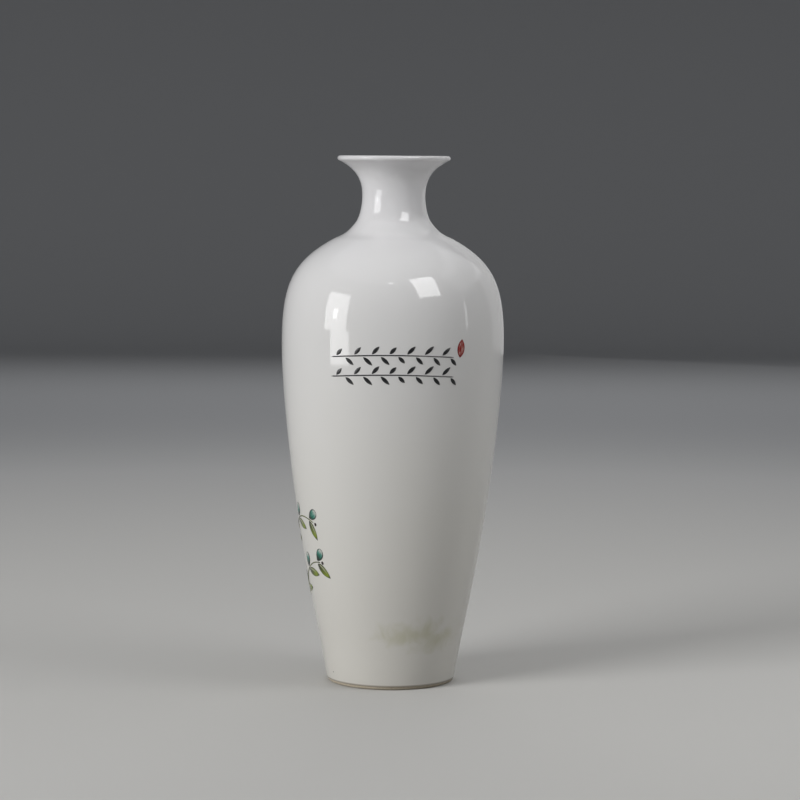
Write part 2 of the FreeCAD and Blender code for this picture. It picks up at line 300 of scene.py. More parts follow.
# Shoulder section, neck and mouth
# The two upper thrown sections, of the same biscuit as the lower body. Both coats of glaze cover
# them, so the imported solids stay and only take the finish.

for node_name in ("shoulder_section", "neck_and_mouth"):
    dress(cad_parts[node_name], biscuit)


# Outer glaze
# The clear glaze over white porcelain that covers the outside, from its rolled edge just above the
# foot ring up and over the lip. It is sprayed on the biscuit and melts to glass in the kiln, so it
# levels itself but keeps a faint trace of the turning under it.

lip_thickness = 2.5 * mm


def lip_round(outer_depth, inner_depth, points_along):
    """The half round that closes the wall at the mouth, as two quarter arcs."""
    start = surface_point("mouth", outer_depth)
    end = surface_point("mouth", inner_depth)
    crown = (start + end) / 2 + direction(mouth_angle) * ((end - start).length / 2)
    return [(stretch(start, mouth_angle, crown, mouth_angle + 90), points_along),
            (stretch(crown, mouth_angle + 90, end, mouth_angle + 180), points_along)]


def liner_back(station):
    return biscuit_inside(station) + coat_clearance


def lined(station):
    return liner_back(station) + inner_coat


glaze_edge = surface_point("foot", 0)
glaze_edge_back = surface_point("foot", outer_coat)
glaze_edge_roll = (glaze_edge + glaze_edge_back) / 2 - direction(foot_angle) * (outer_coat / 2)
coat_end = (stretch(surface_point("mouth", liner_back("mouth")), mouth_angle + 90,
                    surface_point("mouth", lip_thickness), mouth_angle + 90), 2)
glaze_wall = outline(glazed, "foot", "mouth", 24)
glaze_wall += outline(coat_back, "foot", "mouth", 6)
glaze_wall += lip_round(0, lip_thickness, 12) + lip_round(outer_coat, liner_back("mouth"), 4)
glaze_wall += [
    coat_end,
    (stretch(glaze_edge, foot_angle + 180, glaze_edge_roll, foot_angle + 90), 6),
    (stretch(glaze_edge_roll, foot_angle + 90, glaze_edge_back, foot_angle), 6),
]
outer_glaze = turned("glazed_outside", glaze_wall, steps=192)
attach(outer_glaze, "root")
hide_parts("outer_glaze")

# Glossy glaze on white porcelain: a hard clear gloss over a white that is warmer towards the foot,
# with a slight orange peel and the faint rings of the turning, which only bend the highlights
glaze, tree, shader = start_material("glossy_glaze_on_white_porcelain")
place = add_node(tree, "ShaderNodeTexCoord").outputs["Object"]
height = add_node(tree, "ShaderNodeSeparateXYZ", {"Vector": place}).outputs["Z"]
cloud_size = 45 * mm
coolest_height = 240 * mm
cloud = add_node(tree, "ShaderNodeTexNoise", {"Vector": place, "Scale": 1 / cloud_size, "Detail": 2.0})
cooling = add_node(tree, "ShaderNodeMapRange",
                   {"Value": height, "From Max": coolest_height, "To Min": -0.10, "To Max": 0.90})
tint = add_node(tree, "ShaderNodeMath", {0: cloud.outputs["Fac"], 1: 0.20, 2: cooling.outputs["Result"]},
                operation="MULTIPLY_ADD")
glaze_colour = add_node(tree, "ShaderNodeValToRGB", {"Fac": tint.outputs["Value"]})
set_ramp(glaze_colour, [(0.0, "#E8E5DD"), (0.35, "#E9E7E1"), (0.70, "#ECEBE9"), (1.0, "#ECEBEC")])

# A faint smear of iron from the kiln, low on the front, and one pinhole above the foot
stain_middle = (15 * mm, -33 * mm, 27 * mm)
stain_reach = (26 * mm, 26 * mm, 10 * mm)
stain_way = add_node(tree, "ShaderNodeVectorMath", {0: place, 1: stain_middle}, operation="SUBTRACT")
stain_span = add_node(tree, "ShaderNodeVectorMath", {0: stain_way.outputs["Vector"], 1: stain_reach},
                      operation="DIVIDE")
stain_distance = add_node(tree, "ShaderNodeVectorMath",
                          {0: stain_span.outputs["Vector"]}, operation="LENGTH")
smear_size = 9 * mm
smear = add_node(tree, "ShaderNodeTexNoise",
                 {"Vector": place, "Scale": 1 / smear_size, "Detail": 3.0, "Distortion": 0.8})
smear_edge = add_node(tree, "ShaderNodeMath", {0: smear.outputs["Fac"], 1: 1.8, 2: -0.9},
                      operation="MULTIPLY_ADD")
stain_depth = add_node(tree, "ShaderNodeMath",
                       {0: smear_edge.outputs["Value"], 1: stain_distance.outputs["Value"]},
                       operation="SUBTRACT")
stain_share = add_node(tree, "ShaderNodeMapRange",
                       {"Value": stain_depth.outputs["Value"], "From Min": -1.0, "From Max": 0.1,
                        "To Max": 0.37}, interpolation_type="SMOOTHSTEP")
stained = mixed(tree, stain_share.outputs["Result"], glaze_colour.outputs["Color"], "#B2AF6E")
pinhole = (-28.1 * mm, -16.4 * mm, 6.3 * mm)
pinhole_radius, pinhole_core = 0.45 * mm, 0.2 * mm
pinhole_distance = add_node(tree, "ShaderNodeVectorMath", {0: place, 1: pinhole}, operation="DISTANCE")
pinhole_share = add_node(tree, "ShaderNodeMapRange",
                         {"Value": pinhole_distance.outputs["Value"], "From Min": pinhole_radius,
                          "From Max": pinhole_core, "To Max": 0.8})
specked = mixed(tree, pinhole_share.outputs["Result"], stained, "#4A3F38")

# Where the coat rolls under at the foot, it is drawn darker and browner in a fine line
dark_line_top, dark_line_bottom = 2.6 * mm, 1.9 * mm
edge_share = add_node(tree, "ShaderNodeMapRange",
                      {"Value": height, "From Min": dark_line_top, "From Max": dark_line_bottom, "To Max": 0.7})
tree.links.new(mixed(tree, edge_share.outputs["Result"], specked, "#8A7A66"), shader.inputs["Base Color"])
peel_size = 2.6 * mm
peel_depth = 0.003 * mm
peel = add_node(tree, "ShaderNodeTexNoise", {"Vector": place, "Scale": 1 / peel_size, "Detail": 1.0})
peel_relief = add_node(tree, "ShaderNodeBump",
                       {"Height": peel.outputs["Fac"], "Strength": 1.0, "Distance": peel_depth})
ring_pitch = 9 * mm
ring_depth = 0.02 * mm
ring_place = add_node(tree, "ShaderNodeMapping", {"Vector": place, "Scale": (0.08, 0.08, 1.0)})
rings = add_node(tree, "ShaderNodeTexNoise",
                 {"Vector": ring_place.outputs["Vector"], "Scale": 1 / ring_pitch, "Detail": 1.0})
ring_relief = add_node(tree, "ShaderNodeBump",
                       {"Height": rings.outputs["Fac"], "Strength": 1.0, "Distance": ring_depth,
                        "Normal": peel_relief.outputs["Normal"]})
tree.links.new(ring_relief.outputs["Normal"], shader.inputs["Normal"])
shader.inputs["Roughness"].default_value = 0.07
shader.inputs["IOR"].default_value = 1.5
dress(outer_glaze, glaze)


# Inner glaze
# The same glaze, poured in and out again, which lines the inside from the lip down to the floor
# and makes the vase hold water.

floor_coat_back = foot_recess_depth + floor_thickness + coat_clearance
liner_wall = outline(lined, "sweep", "mouth", 20) + outline(liner_back, "sweep", "mouth", 6)
liner_wall += [
    coat_end,
    (stretch(flat_point(0, floor_coat_back), 0,
             surface_point("sweep", liner_back("sweep")), sweep_angle, well_handle_shares), 8),
    (stretch(flat_point(0, floor_coat_back + inner_coat), 0,
             surface_point("sweep", lined("sweep")), sweep_angle, well_handle_shares), 16),
]
inner_glaze = turned("glazed_inside", liner_wall, steps=160)
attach(inner_glaze, "root")
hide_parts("inner_glaze")
dress(inner_glaze, glaze)


# Base glaze
# A thin coat brushed on the recessed base inside the foot ring. It stops short of the ring, which
# is wiped bare so that the vase doesn't stick to the kiln shelf.

base_coat = 0.35 * mm
fillet_centre = flat_point(recess_radius - foot_recess_fillet, foot_recess_depth - foot_recess_fillet)
back_fillet = foot_recess_fillet - coat_clearance
front_fillet = back_fillet - base_coat


def base_layer(fillet, points_along):
    """One face of the base coat, from the middle out and down round the fillet."""
    fillet_top = fillet_centre + Vector((0, 0, fillet))
    return [
        (stretch(flat_point(0, fillet_top.z), 0, fillet_top, 0), points_along),
        (stretch(fillet_top, 0, fillet_centre + Vector((fillet, 0, 0)), -90), points_along),
    ]


base_end = (stretch(fillet_centre + Vector((front_fillet, 0, 0)), 0,
                    fillet_centre + Vector((back_fillet, 0, 0)), 0), 2)
base_glaze = turned("glazed_base", base_layer(back_fillet, 8) + base_layer(front_fillet, 8) + [base_end])
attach(base_glaze, "root")
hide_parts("base_glaze")
dress(base_glaze, glaze)


# Teal leaves
# Round-tipped leaves of teal enamel on the upper side of the four stems on the left. Ground glass
# colour is brushed on the fired glaze, and a second, cooler firing melts it on. It stands a little
# proud of the glaze, full in the middle and thin along its edge.

enamel_coat = 0.22 * mm
enamel_gap = 0.04 * mm
thin_edge_share = 0.2
stroke_standoff = 5 * mm
stroke_weld_distance = 0.001 * mm
stroke_smooth_angle = 50
leaf_rows = 20
leaf_columns = 8
leaf_handle_share = 0.67
halvings = 24


def bezier(points, share):
    """A place on a curve of four control points."""
    start, near, far, end = points
    rest = 1 - share
    return (start * rest ** 3 + near * (3 * share * rest ** 2)
            + far * (3 * share ** 2 * rest) + end * share ** 3)


def girth_radius(height):
    """Glazed radius at a height between the foot's sweep and the top of the shoulder."""
    lower, upper = (points for points, _ in outline(glazed, "sweep", "shoulder", 1))
    points = lower if height < lower[3].z else upper
    below, above = 0.0, 1.0
    for _ in range(halvings):
        middle = (below + above) / 2
        if bezier(points, middle).z < height:
            below = middle
        else:
            above = middle
    return bezier(points, below).x


def bowed_stem(root, tip, bow):
    """A stem on the plane that faces its middle: the azimuth it faces, then root, crest and tip."""
    facing = (root[0] + tip[0]) / 2
    start, end = (Vector((girth_radius(height) * math.sin(math.radians(azimuth - facing)), height, 0))
                  for azimuth, height in (root, tip))
    return facing, start, (start + end) / 2 + Vector((0, 2 * bow, 0)), end


def on_stem(stem, share):
    """Azimuth, height and lean of a stem at a share of the way along it."""
    facing, start, crest, end = stem
    rest = 1 - share
    place = start * rest ** 2 + crest * (2 * share * rest) + end * share ** 2
    run = (crest - start) * rest + (end - crest) * share
    turn = math.asin(place.x / girth_radius(place.y))
    lean = math.degrees(math.atan2(run.y, run.x / math.cos(turn)))
    return facing + math.degrees(turn), place.y, lean


def in_front(azimuth, height):
    """Stands a flat stroke upright in front of the vase, facing out at an azimuth."""
    reach = stations["belly"][0] + stroke_standoff
    return (Matrix.Rotation(math.radians(azimuth), 4, "Z") @ Matrix.Translation((0, -reach, height))
            @ Matrix.Rotation(math.radians(90), 4, "X"))


def drawn_out(name, rows, columns, row_shape):
    """A flat stroke along X, drawn out of a grid row by row to the place and half width of each."""
    bpy.ops.object.select_all(action="DESELECT")
    bpy.ops.mesh.primitive_grid_add(x_subdivisions=rows, y_subdivisions=columns, size=1)
    blank = bpy.context.object
    blank.name = name
    crown = blank.vertex_groups.new(name="crown")
    row_vertices = {}
    for vertex in blank.data.vertices:
        row_vertices.setdefault(round(vertex.co.x, 4), []).append(vertex.index)
        inset = min((0.5 - abs(vertex.co.x)) * rows, (0.5 - abs(vertex.co.y)) * columns)
        fullness = math.sqrt(min(1.0, inset * 2 / columns))
        crown.add([vertex.index], thin_edge_share + (1 - thin_edge_share) * fullness, "REPLACE")
    bpy.ops.object.mode_set(mode="EDIT")
    for row_x, indexes in row_vertices.items():
        along, half_width = row_shape(row_x + 0.5)
        bpy.ops.mesh.select_all(action="DESELECT")
        sheet = bmesh.from_edit_mesh(blank.data)
        sheet.verts.ensure_lookup_table()
        for index in indexes:
            sheet.verts[index].select = True
        bpy.ops.transform.resize(value=(1, 2 * half_width, 1), center_override=(0, 0, 0))
        bpy.ops.transform.translate(value=(along - row_x, 0, 0))
    bpy.ops.mesh.select_all(action="SELECT")
    bpy.ops.mesh.remove_doubles(threshold=stroke_weld_distance)
    bpy.ops.object.mode_set(mode="OBJECT")
    return blank


def leaf_blank(name, length, width, fullness_shares):
    """A flat leaf from its base at the origin, between two curved sides."""
    near, far = fullness_shares

    def row_shape(share):
        rest = 1 - share
        along = length * (3 * near * share * rest ** 2 + 3 * far * share ** 2 * rest + share ** 3)
        return along, 3 * leaf_handle_share * width * share * rest

    return drawn_out(name, leaf_rows, leaf_columns, row_shape)


def copy_of(blank, placing, length_share=1.0):
    """Another stroke like the blank, with its own mesh."""
    stroke = blank.copy()
    stroke.data = blank.data.copy()
    stroke.data.transform(Matrix.Diagonal((length_share, 1, 1, 1)))
    bpy.context.scene.collection.objects.link(stroke)
    stroke.matrix_world = placing
    return stroke


def laid_on_glaze(stroke):
    """Drops a flat stroke on the glaze and gives it the thickness of the enamel."""
    wrap = stroke.modifiers.new("laid_on_glaze", "SHRINKWRAP")
    wrap.target = outer_glaze
    wrap.wrap_method = "PROJECT"
    wrap.use_project_z = True
    wrap.use_positive_direction = False
    wrap.use_negative_direction = True
    wrap.offset = enamel_gap
    coat = stroke.modifiers.new("enamel_coat", "SOLIDIFY")
    coat.thickness = enamel_coat
    coat.offset = 1
    coat.vertex_group = "crown"
    select_only(stroke)
    for modifier in list(stroke.modifiers):
        bpy.ops.object.modifier_apply(modifier=modifier.name)


def fired(name, strokes, node):
    """Joins the strokes of one enamel to one piece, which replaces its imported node."""
    for stroke in strokes:
        laid_on_glaze(stroke)
    bpy.ops.object.select_all(action="DESELECT")
    for stroke in strokes:
        stroke.select_set(True)
    piece = bpy.context.view_layer.objects.active = strokes[0]
    if len(strokes) > 1:
        bpy.ops.object.join()
    bpy.ops.object.transform_apply(location=True, rotation=True, scale=True)
    bpy.ops.object.shade_smooth_by_angle(angle=math.radians(stroke_smooth_angle))
    piece.name = piece.data.name = name
    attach(piece, "root")
    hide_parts(node)
    return piece


# The stems of the spray: azimuth of the root and of the tip, the heights of the two as shares of
# the spray's drop, and the bow as a share of it
spray_base = stations["sweep"][1] + 44.0 * mm
spray_drop = 13.0 * mm
spray_stem_shares = (
    (-148.0, -98.0, 1.2, 1.9, 0.9),
    (-110.0, -55.0, -0.9, 0.8, 0.8),
    (-98.0, -53.0, -2.6, -0.7, 0.5),
    (-180.0, -130.0, -0.5, -1.3, 0.6),
)
stem_width = 0.7 * mm
leaf_place_shares = (0.20, 0.55, 0.90)
leaf_gap_share = 1.6
leaf_spread_angle = 44.0
spray_stems = [
    bowed_stem((root_azimuth, spray_base + spray_drop * root_share),
               (tip_azimuth, spray_base + spray_drop * tip_share), spray_drop * bow_share)
    for root_azimuth, tip_azimuth, root_share, tip_share, bow_share in spray_stem_shares
]


def stem_leaf(blank, stem, share, side, stem_stroke, length_share=1.0):
    """A leaf beside a stem, on its upper side for 1 and its lower side for -1."""
    azimuth, height, stem_lean = on_stem(stem, share)
    lean = math.radians(stem_lean + side * leaf_spread_angle)
    placing = (in_front(azimuth, height) @ Matrix.Rotation(lean, 4, "Z")
               @ Matrix.Translation((stem_stroke * leaf_gap_share, 0, 0)))
    return copy_of(blank, placing, length_share)


def spray_leaves(blank, side):
    """The leaves on one side of all the stems of the spray."""
    return [stem_leaf(blank, stem, share, side, stem_width)
            for stem in spray_stems for share in leaf_place_shares]


teal_leaf_length = 7.4 * mm
teal_leaf_width = 5.0 * mm
teal_leaf_fullness = (0.28, 1.0)
teal_blank = leaf_blank("teal_blank", teal_leaf_length, teal_leaf_width, teal_leaf_fullness)
teal_leaves = fired("painted_teal_leaves", spray_leaves(teal_blank, 1), "teal_enamel_leaves")

brush_depth = 0.05 * mm
streak_change_length = 9 * mm


def stroke_uv(tree):
    """The place on a painted stroke, along it and across it."""
    return add_node(tree, "ShaderNodeUVMap", uv_map="UVMap").outputs["UV"]


def share_along(tree, uv):
    """The share of the way along a stroke."""
    return add_node(tree, "ShaderNodeSeparateXYZ", {"Vector": uv}).outputs["X"]


def way_across(tree, uv):
    """The way across a stroke, from -1 on one side to 1 on the other."""
    share = add_node(tree, "ShaderNodeSeparateXYZ", {"Vector": uv}).outputs["Y"]
    return add_node(tree, "ShaderNodeMath", {0: share, 1: 2.0, 2: -1.0},
                    operation="MULTIPLY_ADD").outputs["Value"]


def way_aside(tree, across):
    """The way from the middle line of a stroke to either side."""
    return add_node(tree, "ShaderNodeMath", {0: across}, operation="ABSOLUTE").outputs["Value"]


def brush_streaks(tree, uv, along, across):
    """Uneven streaks along a stroke, so many along and across it, that differ between strokes."""
    place = add_node(tree, "ShaderNodeTexCoord").outputs["Object"]
    change = 1 / streak_change_length
    spread = add_node(tree, "ShaderNodeVectorMath", {0: place, 1: (change, change, change)},
                      operation="DOT_PRODUCT")
    stretched = add_node(tree, "ShaderNodeMapping", {"Vector": uv, "Scale": (along, across, 1.0)})
    return add_node(tree, "ShaderNodeTexNoise",
                    {"Vector": stretched.outputs["Vector"], "W": spread.outputs["Value"],
                     "Scale": 1.0, "Detail": 2.0}, noise_dimensions="4D").outputs["Fac"]


# Enamel is coloured glass, so it shines like the glaze under it. The brush leaves the leaf dark at
# its base, teal in the middle and nearly bare at the tip, inside a fine dark line
teal_enamel, tree, shader = start_material("brushed_teal_enamel")
uv = stroke_uv(tree)
along = share_along(tree, uv)
aside = way_aside(tree, way_across(tree, uv))
streaks = brush_streaks(tree, uv, 2.0, 5.0)
drift = add_node(tree, "ShaderNodeMath", {0: streaks, 1: 0.5, 2: -0.25}, operation="MULTIPLY_ADD")
washed = add_node(tree, "ShaderNodeMath", {0: along, 1: drift.outputs["Value"]}, operation="ADD")
wash = add_node(tree, "ShaderNodeValToRGB", {"Fac": washed.outputs["Value"]})
set_ramp(wash, [(0.08, "#101612"), (0.26, "#19372E"), (0.43, "#287866"), (0.57, "#5E998C"),
                (0.71, "#B2C0B6"), (0.87, "#D0D4CD")])
side_line = add_node(tree, "ShaderNodeMapRange", {"Value": aside, "From Min": 0.66, "From Max": 0.90})
tip_line = add_node(tree, "ShaderNodeMapRange", {"Value": along, "From Min": 0.86, "From Max": 0.95})
line_share = add_node(tree, "ShaderNodeMath",
                      {0: side_line.outputs["Result"], 1: tip_line.outputs["Result"]}, operation="MAXIMUM")
leaf_colour = mixed(tree, line_share.outputs["Value"], wash.outputs["Color"], "#26332D")
tree.links.new(leaf_colour, shader.inputs["Base Color"])
relief = add_node(tree, "ShaderNodeBump", {"Height": streaks, "Strength": 0.6, "Distance": brush_depth})
tree.links.new(relief.outputs["Normal"], shader.inputs["Normal"])
shader.inputs["Roughness"].default_value = 0.14
shader.inputs["IOR"].default_value = 1.54
dress(teal_leaves, teal_enamel)


# Olive leaves
# Lance-shaped leaves of olive enamel on the lower side of the same stems, each drawn in one stroke
# of the brush that ends in a dark point, with fine dark veins over it.

olive_leaf_length = 10.6 * mm
olive_leaf_width = 4.0 * mm
olive_leaf_fullness = (0.16, 0.66)
olive_blank = leaf_blank("olive_blank", olive_leaf_length, olive_leaf_width, olive_leaf_fullness)
olive_leaves = fired("painted_olive_leaves", spray_leaves(olive_blank, -1),
                     "olive_enamel_leaves")

# Glossy enamel again: the wash runs from near black at the base through a yellow green to a dark
# point, leaves a pale run along one side, and has fine dark veins over it
olive_enamel, tree, shader = start_material("brushed_olive_enamel")
uv = stroke_uv(tree)
along = share_along(tree, uv)
across = way_across(tree, uv)
aside = way_aside(tree, across)
streaks = brush_streaks(tree, uv, 1.5, 7.0)
drift = add_node(tree, "ShaderNodeMath", {0: streaks, 1: 0.4, 2: -0.2}, operation="MULTIPLY_ADD")
washed = add_node(tree, "ShaderNodeMath", {0: along, 1: drift.outputs["Value"]}, operation="ADD")
wash = add_node(tree, "ShaderNodeValToRGB", {"Fac": washed.outputs["Value"]})
set_ramp(wash, [(0.10, "#15180A"), (0.30, "#3A4314"), (0.52, "#67761F"), (0.78, "#8A9C2E"),
                (0.92, "#5A6730"), (1.00, "#20251A")])
bare_side = add_node(tree, "ShaderNodeValToRGB", {"Fac": across})
set_ramp(bare_side, [(0.14, "#000000"), (0.34, "#FFFFFF"), (0.66, "#FFFFFF"), (0.84, "#000000")])
bare_run = add_node(tree, "ShaderNodeValToRGB", {"Fac": along})
set_ramp(bare_run, [(0.15, "#000000"), (0.28, "#F0F0F0"), (0.55, "#E0E0E0"), (0.80, "#000000")])
bare_share = add_node(tree, "ShaderNodeMath",
                      {0: bare_side.outputs["Color"], 1: bare_run.outputs["Color"]}, operation="MULTIPLY")
pale_side = mixed(tree, bare_share.outputs["Value"], wash.outputs["Color"], "#B9BC9C")
vein_count = 3.0
vein_wave = add_node(tree, "ShaderNodeMath", {0: across, 1: vein_count}, operation="MULTIPLY")
vein_fold = add_node(tree, "ShaderNodeMath", {0: vein_wave.outputs["Value"], 1: 0.5}, operation="PINGPONG")
vein_line = add_node(tree, "ShaderNodeMapRange",
                     {"Value": vein_fold.outputs["Value"], "From Min": 0.16, "From Max": 0.04})
vein_run = add_node(tree, "ShaderNodeMapRange", {"Value": along, "From Min": 0.80, "From Max": 0.45})
vein_share = add_node(tree, "ShaderNodeMath",
                      {0: vein_line.outputs["Result"], 1: vein_run.outputs["Result"]}, operation="MULTIPLY")
veined = mixed(tree, vein_share.outputs["Value"], pale_side, "#262A14")
line_share = add_node(tree, "ShaderNodeMapRange", {"Value": aside, "From Min": 0.80, "From Max": 1.0})
tree.links.new(mixed(tree, line_share.outputs["Result"], veined, "#4B522C"), shader.inputs["Base Color"])
relief = add_node(tree, "ShaderNodeBump", {"Height": streaks, "Strength": 0.6, "Distance": brush_depth})
tree.links.new(relief.outputs["Normal"], shader.inputs["Normal"])
shader.inputs["Roughness"].default_value = 0.16
shader.inputs["IOR"].default_value = 1.54
dress(olive_leaves, olive_enamel)


# Olive stems
# The four bowed stems that carry the leaves, painted in the same olive enamel with a fine brush.
# Each is a single stroke that thins to its tip.

stem_rows = 48
stroke_columns = 4
round_end_share = 0.012
stem_tip_width_share = 0.7


def brush_stroke_blank(name, width, tip_width_share):
    """A straight flat stroke of unit length with round ends."""

    def row_shape(share):
        end_share = min(share, 1 - share, round_end_share) / round_end_share
        fullness = math.sqrt(1 - (1 - end_share) ** 2)
        return share, width / 2 * fullness * (1 - share + share * tip_width_share)

    return drawn_out(name, stem_rows, stroke_columns, row_shape)


def along_stem(blank, stem):
    """Bends a copy of a straight stroke along a stem."""
    facing, start, crest, end = stem
    stroke = copy_of(blank, in_front(facing, 0))
    bpy.ops.object.select_all(action="DESELECT")
    bpy.ops.curve.primitive_bezier_curve_add()
    path = bpy.context.object
    path.matrix_world = stroke.matrix_world
    path.data.dimensions = "2D"
    path.data.use_stretch = True
    path.data.use_deform_bounds = True
    path.data.resolution_u = 64
    root, tip = path.data.splines[0].bezier_points
    for knot in (root, tip):
        knot.handle_left_type = knot.handle_right_type = "FREE"
    root.co = root.handle_left = start
    root.handle_right = start + (crest - start) * (2 / 3)
    tip.co = tip.handle_right = end
    tip.handle_left = end + (crest - end) * (2 / 3)
    bend = stroke.modifiers.new("along_the_stem", "CURVE")
    bend.object = path
    select_only(stroke)
    bpy.ops.object.modifier_apply(modifier=bend.name)
    bpy.data.objects.remove(path)
    return stroke


stem_blank = brush_stroke_blank("stem_blank", stem_width, stem_tip_width_share)
stems = fired("painted_olive_stems", [along_stem(stem_blank, stem) for stem in spray_stems],
              "olive_enamel_stems")

# A fine line of glossy enamel, darker where the brush was full and paler where it ran thin
stem_enamel, tree, shader = start_material("drawn_olive_enamel_line")
streaks = brush_streaks(tree, stroke_uv(tree), 14.0, 1.0)
line_colour = add_node(tree, "ShaderNodeValToRGB", {"Fac": streaks})
set_ramp(line_colour, [(0.35, "#3E4523"), (0.50, "#6B7334"), (0.68, "#8B8F55")])
tree.links.new(line_colour.outputs["Color"], shader.inputs["Base Color"])
shader.inputs["Roughness"].default_value = 0.18
shader.inputs["IOR"].default_value = 1.54
dress(stems, stem_enamel)


# Dark buds
# A round bud of dark brown enamel just past the tip of each stem. It is one touch of the brush's
# point, and stands highest in the middle.

bud_diameter = 1.7 * mm
bud_rows, bud_columns = 12, 8


def bud_row(share):
    """A disc's rows, from the side that faces the stem."""
    turn = math.pi * share
    return bud_diameter / 2 * (1 - math.cos(turn)), bud_diameter / 2 * math.sin(turn)


bud_blank = drawn_out("bud_blank", bud_rows, bud_columns, bud_row)
bud_strokes = []
for stem in spray_stems:
    azimuth, height, lean = on_stem(stem, 1)
    bud_strokes.append(copy_of(bud_blank, in_front(azimuth, height)
                               @ Matrix.Rotation(math.radians(lean), 4, "Z")
                               @ Matrix.Translation((stem_width, 0, 0))))
buds = fired("painted_dark_buds", bud_strokes, "dark_enamel_buds")

# Enamel set down thick, so it is glossy and nearly black, with a brown cast where it is thinner
dark_enamel, tree, shader = start_material("dabbed_dark_enamel")
streaks = brush_streaks(tree, stroke_uv(tree), 2.0, 2.0)
bud_colour = add_node(tree, "ShaderNodeValToRGB", {"Fac": streaks})
set_ramp(bud_colour, [(0.35, "#221B1B"), (0.65, "#463838")])
tree.links.new(bud_colour.outputs["Color"], shader.inputs["Base Color"])
shader.inputs["Roughness"].default_value = 0.2
shader.inputs["IOR"].default_value = 1.54
dress(buds, dark_enamel)


# Ink twigs
# Two sprigs in black enamel on the front, one above the other, with leaves set on alternate sides.
# They are brushed quickly and thinly, so the black turns grey where the brush runs dry.

twig_drop = 3.8 * mm
twig_pitch = 9.4 * mm
twig_half_length = 31.0 * mm
twig_rise = 1.3 * mm
twig_width = 0.6 * mm
twig_tip_width_share = 0.8
twig_leaf_length = 5.4 * mm
twig_leaf_width = 1.8 * mm
narrow_leaf_fullness = (0.25, 0.70)
twig_leaf_count = 14
twig_leaf_length_shares = (0.80, 1.00, 0.90, 1.10, 0.95, 1.05, 0.85)
twig_stems = []
for drop in (twig_drop, twig_drop + twig_pitch):
    height = stations["belly"][1] - drop
    half_angle = math.degrees(twig_half_length / girth_radius(height))
    twig_stems.append(bowed_stem((-half_angle, height), (half_angle, height), twig_rise))

twig_blank = brush_stroke_blank("twig_blank", twig_width, twig_tip_width_share)
twig_leaf_blank = leaf_blank("twig_leaf_blank", twig_leaf_length, twig_leaf_width, narrow_leaf_fullness)
twig_strokes = []
for stem in twig_stems:
    twig_strokes.append(along_stem(twig_blank, stem))
    for leaf in range(twig_leaf_count):
        length_share = twig_leaf_length_shares[leaf % len(twig_leaf_length_shares)]
        twig_strokes.append(stem_leaf(twig_leaf_blank, stem, (leaf + 0.5) / twig_leaf_count,
                                      -1 if leaf % 2 else 1, twig_width, length_share))
twigs = fired("painted_ink_twigs", twig_strokes, "ink_enamel_twig")

# Black enamel brushed on thin fires satin, less glossy than the leaves, and grey at its dry end
ink_enamel, tree, shader = start_material("brushed_black_enamel")
uv = stroke_uv(tree)
streaks = brush_streaks(tree, uv, 1.2, 6.0)
dry_end = add_node(tree, "ShaderNodeMapRange",
                   {"Value": share_along(tree, uv), "From Min": 0.45, "From Max": 1.0})
dryness = add_node(tree, "ShaderNodeMath", {0: dry_end.outputs["Result"], 1: 0.30, 2: streaks},
                   operation="MULTIPLY_ADD")
ink_colour = add_node(tree, "ShaderNodeValToRGB", {"Fac": dryness.outputs["Value"]})
set_ramp(ink_colour, [(0.45, "#17181A"), (0.66, "#2B2C2E"), (0.86, "#6E6C69")])
tree.links.new(ink_colour.outputs["Color"], shader.inputs["Base Color"])
shader.inputs["Roughness"].default_value = 0.28
shader.inputs["IOR"].default_value = 1.52
dress(twigs, ink_enamel)


# Red bud
# A closed bud in iron red beyond the end of the upper twig: a red outline filled in with strokes
# that let the glaze show between them.

red_bud_length = 9.0 * mm
red_bud_width = 4.2 * mm
red_bud_angle = 82.0
red_bud_gap = 3.4 * mm
red_blank = leaf_blank("red_blank", red_bud_length, red_bud_width, narrow_leaf_fullness)
azimuth, height, lean = on_stem(twig_stems[0], 1)
red_placing = (in_front(azimuth, height) @ Matrix.Rotation(math.radians(lean), 4, "Z")
               @ Matrix.Translation((red_bud_gap, 0, 0))
               @ Matrix.Rotation(math.radians(red_bud_angle - lean), 4, "Z"))
red_bud = fired("painted_red_bud", [copy_of(red_blank, red_placing)], "red_enamel_bud")

# Iron red is a thin, dry enamel: satin, deep red in its outline and pale where the fill is brushed
iron_red, tree, shader = start_material("brushed_iron_red_enamel")
uv = stroke_uv(tree)
along = share_along(tree, uv)
aside = way_aside(tree, way_across(tree, uv))
streaks = brush_streaks(tree, uv, 2.5, 7.0)
fill = add_node(tree, "ShaderNodeValToRGB", {"Fac": streaks})
set_ramp(fill, [(0.38, "#8E2A25"), (0.50, "#A84A43"), (0.60, "#C79A93"), (0.70, "#C9AFA9")])
outline_share = add_node(tree, "ShaderNodeMapRange", {"Value": aside, "From Min": 0.60, "From Max": 0.78})
base_share = add_node(tree, "ShaderNodeMapRange", {"Value": along, "From Min": 0.30, "From Max": 0.12})
tip_share = add_node(tree, "ShaderNodeMapRange", {"Value": along, "From Min": 0.80, "From Max": 0.92})
ends = add_node(tree, "ShaderNodeMath", {0: base_share.outputs["Result"], 1: tip_share.outputs["Result"]},
                operation="MAXIMUM")
rim = add_node(tree, "ShaderNodeMath", {0: ends.outputs["Value"], 1: outline_share.outputs["Result"]},
               operation="MAXIMUM")
red_colour = mixed(tree, rim.outputs["Value"], fill.outputs["Color"], "#86201F")
tree.links.new(red_colour, shader.inputs["Base Color"])
shader.inputs["Roughness"].default_value = 0.24
shader.inputs["IOR"].default_value = 1.52
dress(red_bud, iron_red)

